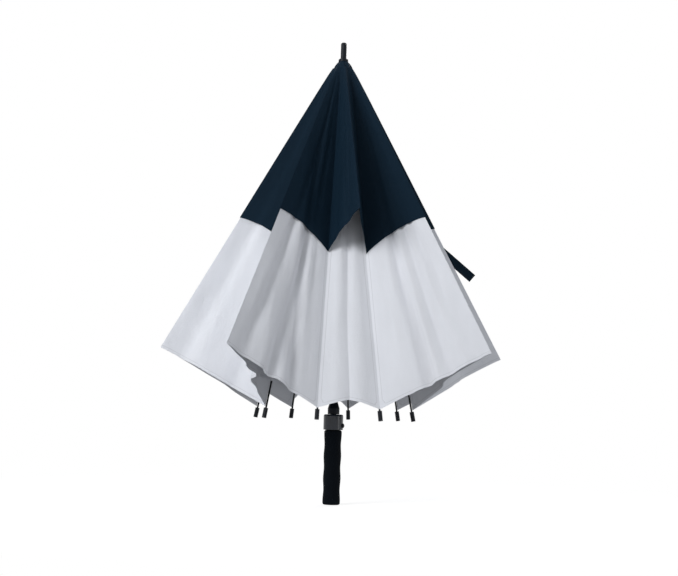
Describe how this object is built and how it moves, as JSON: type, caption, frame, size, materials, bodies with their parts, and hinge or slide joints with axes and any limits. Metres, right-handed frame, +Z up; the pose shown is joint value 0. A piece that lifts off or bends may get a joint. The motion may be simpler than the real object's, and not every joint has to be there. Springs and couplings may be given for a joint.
{
  "type": "golf umbrella",
  "caption": "Large straight umbrella, closed and unwrapped: navy upper canopy over a white lower canopy, foam grip, push-button collar and opening ribs.",
  "frame": {"origin": "centre of the flat butt face of the grip, on the shaft's axis", "axes": "+Z up the shaft to the ferrule; +Y away from the viewer of the front panel; +X to that viewer's right"},
  "size_m": [0.7062, 0.7062, 0.9769],
  "materials": {
    "foam": "soft matt foam, hand sized",
    "grey_plastic": "dark grey, glossy",
    "black_plastic": "black, satin",
    "shaft_paint": "black, satin",
    "fibreglass": "black pultruded rod",
    "steel": "plated",
    "white_cloth": "white pongee, plain weave",
    "navy_cloth": "navy pongee, plain weave"
  },
  "bodies": {
    "root": {"shaft": "shaft_paint", "spring_plug": "grey_plastic", "opening_spring": "steel", "top_notch": "black_plastic", "canopy_cap": "black_plastic", "ferrule": "black_plastic", "grip": "foam", "handle_collar": "grey_plastic", "button_spring": "steel"},
    "push_button": {"push_button": "black_plastic"},
    "runner": {"runner": "black_plastic"},
    "rib_1": {"rib_1": "fibreglass"},
    "stretcher_1": {"stretcher_1": "steel"},
    "flap_1_left": {"lower_canopy_1_left": "white_cloth", "upper_canopy_1_left": "navy_cloth"},
    "flap_1_right": {"lower_canopy_1_right": "white_cloth", "upper_canopy_1_right": "navy_cloth"},
    "rib_2": {"rib_2": "fibreglass"},
    "stretcher_2": {"stretcher_2": "steel"},
    "flap_2_left": {"lower_canopy_2_left": "white_cloth", "upper_canopy_2_left": "navy_cloth"},
    "flap_2_right": {"lower_canopy_2_right": "white_cloth", "upper_canopy_2_right": "navy_cloth", "closing_strap": "navy_cloth"},
    "rib_3": {"rib_3": "fibreglass"},
    "stretcher_3": {"stretcher_3": "steel"},
    "flap_3_left": {"lower_canopy_3_left": "white_cloth", "upper_canopy_3_left": "navy_cloth"},
    "flap_3_right": {"lower_canopy_3_right": "white_cloth", "upper_canopy_3_right": "navy_cloth"},
    "rib_4": {"rib_4": "fibreglass"},
    "stretcher_4": {"stretcher_4": "steel"},
    "flap_4_left": {"lower_canopy_4_left": "white_cloth", "upper_canopy_4_left": "navy_cloth"},
    "flap_4_right": {"lower_canopy_4_right": "white_cloth", "upper_canopy_4_right": "navy_cloth"},
    "rib_5": {"rib_5": "fibreglass"},
    "stretcher_5": {"stretcher_5": "steel"},
    "flap_5_left": {"lower_canopy_5_left": "white_cloth", "upper_canopy_5_left": "navy_cloth"},
    "flap_5_right": {"lower_canopy_5_right": "white_cloth", "upper_canopy_5_right": "navy_cloth"},
    "rib_6": {"rib_6": "fibreglass"},
    "stretcher_6": {"stretcher_6": "steel"},
    "flap_6_left": {"lower_canopy_6_left": "white_cloth", "upper_canopy_6_left": "navy_cloth"},
    "flap_6_right": {"lower_canopy_6_right": "white_cloth", "upper_canopy_6_right": "navy_cloth"},
    "rib_7": {"rib_7": "fibreglass"},
    "stretcher_7": {"stretcher_7": "steel"},
    "flap_7_left": {"lower_canopy_7_left": "white_cloth", "upper_canopy_7_left": "navy_cloth"},
    "flap_7_right": {"lower_canopy_7_right": "white_cloth", "upper_canopy_7_right": "navy_cloth"},
    "rib_8": {"rib_8": "fibreglass"},
    "stretcher_8": {"stretcher_8": "steel"},
    "flap_8_left": {"lower_canopy_8_left": "white_cloth", "upper_canopy_8_left": "navy_cloth"},
    "flap_8_right": {"lower_canopy_8_right": "white_cloth", "upper_canopy_8_right": "navy_cloth"}
  },
  "joints": [
    {"name": "rib_1_hinge", "type": "hinge", "parent": "root", "child": "rib_1", "pos_m": [0.00981, -0.00195, 0.9206], "axis": [-0.1951, -0.9808, 0], "range_deg": [0, 47]},
    {"name": "stretcher_1_hinge", "type": "hinge", "parent": "rib_1", "child": "stretcher_1", "pos_m": [0.07895, -0.0157, 0.5741], "axis": [-0.1951, -0.9808, 0], "range_deg": [-94, 0]},
    {"name": "runner_slide", "type": "hinge", "parent": "stretcher_1", "child": "runner", "pos_m": [0.00981, -0.00195, 0.2276], "axis": [-0.1951, -0.9808, 0], "range_deg": [0, 47]},
    {"name": "flap_1_left_fold", "type": "hinge", "parent": "rib_1", "child": "flap_1_left", "pos_m": [0.0174, -0.00346, 0.92218], "axis": [-0.1955, 0.0389, 0.9799], "range_deg": [0, 65.92], "deforming": ["lower_canopy_1_left", "upper_canopy_1_left"]},
    {"name": "flap_1_right_fold", "type": "hinge", "parent": "rib_1", "child": "flap_1_right", "pos_m": [0.0174, -0.00346, 0.92218], "axis": [0.1955, -0.0389, -0.9799], "range_deg": [0, 65.92], "deforming": ["lower_canopy_1_right", "upper_canopy_1_right"]},
    {"name": "rib_2_hinge", "type": "hinge", "parent": "root", "child": "rib_2", "pos_m": [0.00831, 0.00556, 0.9206], "axis": [0.5556, -0.8315, 0], "range_deg": [0, 47]},
    {"name": "stretcher_2_hinge", "type": "hinge", "parent": "rib_2", "child": "stretcher_2", "pos_m": [0.06693, 0.04472, 0.5741], "axis": [0.5556, -0.8315, 0], "range_deg": [-94, 0]},
    {"name": "flap_2_left_fold", "type": "hinge", "parent": "rib_2", "child": "flap_2_left", "pos_m": [0.01475, 0.00986, 0.92218], "axis": [-0.1658, -0.1108, 0.9799], "range_deg": [0, 65.92], "deforming": ["lower_canopy_2_left", "upper_canopy_2_left"]},
    {"name": "flap_2_right_fold", "type": "hinge", "parent": "rib_2", "child": "flap_2_right", "pos_m": [0.01475, 0.00986, 0.92218], "axis": [0.1658, 0.1108, -0.9799], "range_deg": [0, 65.92], "deforming": ["lower_canopy_2_right", "upper_canopy_2_right", "closing_strap"]},
    {"name": "rib_3_hinge", "type": "hinge", "parent": "root", "child": "rib_3", "pos_m": [0.00195, 0.00981, 0.9206], "axis": [0.9808, -0.1951, 0], "range_deg": [0, 47]},
    {"name": "stretcher_3_hinge", "type": "hinge", "parent": "rib_3", "child": "stretcher_3", "pos_m": [0.0157, 0.07895, 0.5741], "axis": [0.9808, -0.1951, 0], "range_deg": [-94, 0]},
    {"name": "flap_3_left_fold", "type": "hinge", "parent": "rib_3", "child": "flap_3_left", "pos_m": [0.00346, 0.0174, 0.92218], "axis": [-0.0389, -0.1955, 0.9799], "range_deg": [0, 65.92], "deforming": ["lower_canopy_3_left", "upper_canopy_3_left"]},
    {"name": "flap_3_right_fold", "type": "hinge", "parent": "rib_3", "child": "flap_3_right", "pos_m": [0.00346, 0.0174, 0.92218], "axis": [0.0389, 0.1955, -0.9799], "range_deg": [0, 65.92], "deforming": ["lower_canopy_3_right", "upper_canopy_3_right"]},
    {"name": "rib_4_hinge", "type": "hinge", "parent": "root", "child": "rib_4", "pos_m": [-0.00556, 0.00831, 0.9206], "axis": [0.8315, 0.5556, 0], "range_deg": [0, 47]},
    {"name": "stretcher_4_hinge", "type": "hinge", "parent": "rib_4", "child": "stretcher_4", "pos_m": [-0.04472, 0.06693, 0.5741], "axis": [0.8315, 0.5556, 0], "range_deg": [-94, 0]},
    {"name": "flap_4_left_fold", "type": "hinge", "parent": "rib_4", "child": "flap_4_left", "pos_m": [-0.00986, 0.01475, 0.92218], "axis": [0.1108, -0.1658, 0.9799], "range_deg": [0, 65.92], "deforming": ["lower_canopy_4_left", "upper_canopy_4_left"]},
    {"name": "flap_4_right_fold", "type": "hinge", "parent": "rib_4", "child": "flap_4_right", "pos_m": [-0.00986, 0.01475, 0.92218], "axis": [-0.1108, 0.1658, -0.9799], "range_deg": [0, 65.92], "deforming": ["lower_canopy_4_right", "upper_canopy_4_right"]},
    {"name": "rib_5_hinge", "type": "hinge", "parent": "root", "child": "rib_5", "pos_m": [-0.00981, 0.00195, 0.9206], "axis": [0.1951, 0.9808, 0], "range_deg": [0, 47]},
    {"name": "stretcher_5_hinge", "type": "hinge", "parent": "rib_5", "child": "stretcher_5", "pos_m": [-0.07895, 0.0157, 0.5741], "axis": [0.1951, 0.9808, 0], "range_deg": [-94, 0]},
    {"name": "flap_5_left_fold", "type": "hinge", "parent": "rib_5", "child": "flap_5_left", "pos_m": [-0.0174, 0.00346, 0.92218], "axis": [0.1955, -0.0389, 0.9799], "range_deg": [0, 65.92], "deforming": ["lower_canopy_5_left", "upper_canopy_5_left"]},
    {"name": "flap_5_right_fold", "type": "hinge", "parent": "rib_5", "child": "flap_5_right", "pos_m": [-0.0174, 0.00346, 0.92218], "axis": [-0.1955, 0.0389, -0.9799], "range_deg": [0, 65.92], "deforming": ["lower_canopy_5_right", "upper_canopy_5_right"]},
    {"name": "rib_6_hinge", "type": "hinge", "parent": "root", "child": "rib_6", "pos_m": [-0.00831, -0.00556, 0.9206], "axis": [-0.5556, 0.8315, 0], "range_deg": [0, 47]},
    {"name": "stretcher_6_hinge", "type": "hinge", "parent": "rib_6", "child": "stretcher_6", "pos_m": [-0.06693, -0.04472, 0.5741], "axis": [-0.5556, 0.8315, 0], "range_deg": [-94, 0]},
    {"name": "flap_6_left_fold", "type": "hinge", "parent": "rib_6", "child": "flap_6_left", "pos_m": [-0.01475, -0.00986, 0.92218], "axis": [0.1658, 0.1108, 0.9799], "range_deg": [0, 65.92], "deforming": ["lower_canopy_6_left", "upper_canopy_6_left"]},
    {"name": "flap_6_right_fold", "type": "hinge", "parent": "rib_6", "child": "flap_6_right", "pos_m": [-0.01475, -0.00986, 0.92218], "axis": [-0.1658, -0.1108, -0.9799], "range_deg": [0, 65.92], "deforming": ["lower_canopy_6_right", "upper_canopy_6_right"]},
    {"name": "rib_7_hinge", "type": "hinge", "parent": "root", "child": "rib_7", "pos_m": [-0.00195, -0.00981, 0.9206], "axis": [-0.9808, 0.1951, 0], "range_deg": [0, 47]},
    {"name": "stretcher_7_hinge", "type": "hinge", "parent": "rib_7", "child": "stretcher_7", "pos_m": [-0.0157, -0.07895, 0.5741], "axis": [-0.9808, 0.1951, 0], "range_deg": [-94, 0]},
    {"name": "flap_7_left_fold", "type": "hinge", "parent": "rib_7", "child": "flap_7_left", "pos_m": [-0.00346, -0.0174, 0.92218], "axis": [0.0389, 0.1955, 0.9799], "range_deg": [0, 65.92], "deforming": ["lower_canopy_7_left", "upper_canopy_7_left"]},
    {"name": "flap_7_right_fold", "type": "hinge", "parent": "rib_7", "child": "flap_7_right", "pos_m": [-0.00346, -0.0174, 0.92218], "axis": [-0.0389, -0.1955, -0.9799], "range_deg": [0, 65.92], "deforming": ["lower_canopy_7_right", "upper_canopy_7_right"]},
    {"name": "rib_8_hinge", "type": "hinge", "parent": "root", "child": "rib_8", "pos_m": [0.00556, -0.00831, 0.9206], "axis": [-0.8315, -0.5556, 0], "range_deg": [0, 47]},
    {"name": "stretcher_8_hinge", "type": "hinge", "parent": "rib_8", "child": "stretcher_8", "pos_m": [0.04472, -0.06693, 0.5741], "axis": [-0.8315, -0.5556, 0], "range_deg": [-94, 0]},
    {"name": "flap_8_left_fold", "type": "hinge", "parent": "rib_8", "child": "flap_8_left", "pos_m": [0.00986, -0.01475, 0.92218], "axis": [-0.1108, 0.1658, 0.9799], "range_deg": [0, 65.92], "deforming": ["lower_canopy_8_left", "upper_canopy_8_left"]},
    {"name": "flap_8_right_fold", "type": "hinge", "parent": "rib_8", "child": "flap_8_right", "pos_m": [0.00986, -0.01475, 0.92218], "axis": [0.1108, -0.1658, -0.9799], "range_deg": [0, 65.92], "deforming": ["lower_canopy_8_right", "upper_canopy_8_right"]},
    {"name": "button_press", "type": "slide", "parent": "root", "child": "push_button", "axis": [-0.9397, 0.342, 0], "range_m": [0, 0.0025], "stiffness_N_per_m": 300, "springref_m": -0.001, "deforming": ["button_spring"]}
  ],
  "couplings": [
    {"joint": "stretcher_1_hinge", "follows": "rib_1_hinge", "ratio": -2},
    {"joint": "runner_slide", "follows": "rib_1_hinge", "ratio": 1},
    {"joint": "flap_1_left_fold", "follows": "rib_1_hinge", "ratio": 1.4025},
    {"joint": "flap_1_right_fold", "follows": "rib_1_hinge", "ratio": 1.4025},
    {"joint": "rib_2_hinge", "follows": "rib_1_hinge", "ratio": 1},
    {"joint": "stretcher_2_hinge", "follows": "rib_1_hinge", "ratio": -2},
    {"joint": "flap_2_left_fold", "follows": "rib_1_hinge", "ratio": 1.4025},
    {"joint": "flap_2_right_fold", "follows": "rib_1_hinge", "ratio": 1.4025},
    {"joint": "rib_3_hinge", "follows": "rib_1_hinge", "ratio": 1},
    {"joint": "stretcher_3_hinge", "follows": "rib_1_hinge", "ratio": -2},
    {"joint": "flap_3_left_fold", "follows": "rib_1_hinge", "ratio": 1.4025},
    {"joint": "flap_3_right_fold", "follows": "rib_1_hinge", "ratio": 1.4025},
    {"joint": "rib_4_hinge", "follows": "rib_1_hinge", "ratio": 1},
    {"joint": "stretcher_4_hinge", "follows": "rib_1_hinge", "ratio": -2},
    {"joint": "flap_4_left_fold", "follows": "rib_1_hinge", "ratio": 1.4025},
    {"joint": "flap_4_right_fold", "follows": "rib_1_hinge", "ratio": 1.4025},
    {"joint": "rib_5_hinge", "follows": "rib_1_hinge", "ratio": 1},
    {"joint": "stretcher_5_hinge", "follows": "rib_1_hinge", "ratio": -2},
    {"joint": "flap_5_left_fold", "follows": "rib_1_hinge", "ratio": 1.4025},
    {"joint": "flap_5_right_fold", "follows": "rib_1_hinge", "ratio": 1.4025},
    {"joint": "rib_6_hinge", "follows": "rib_1_hinge", "ratio": 1},
    {"joint": "stretcher_6_hinge", "follows": "rib_1_hinge", "ratio": -2},
    {"joint": "flap_6_left_fold", "follows": "rib_1_hinge", "ratio": 1.4025},
    {"joint": "flap_6_right_fold", "follows": "rib_1_hinge", "ratio": 1.4025},
    {"joint": "rib_7_hinge", "follows": "rib_1_hinge", "ratio": 1},
    {"joint": "stretcher_7_hinge", "follows": "rib_1_hinge", "ratio": -2},
    {"joint": "flap_7_left_fold", "follows": "rib_1_hinge", "ratio": 1.4025},
    {"joint": "flap_7_right_fold", "follows": "rib_1_hinge", "ratio": 1.4025},
    {"joint": "rib_8_hinge", "follows": "rib_1_hinge", "ratio": 1},
    {"joint": "stretcher_8_hinge", "follows": "rib_1_hinge", "ratio": -2},
    {"joint": "flap_8_left_fold", "follows": "rib_1_hinge", "ratio": 1.4025},
    {"joint": "flap_8_right_fold", "follows": "rib_1_hinge", "ratio": 1.4025}
  ]
}
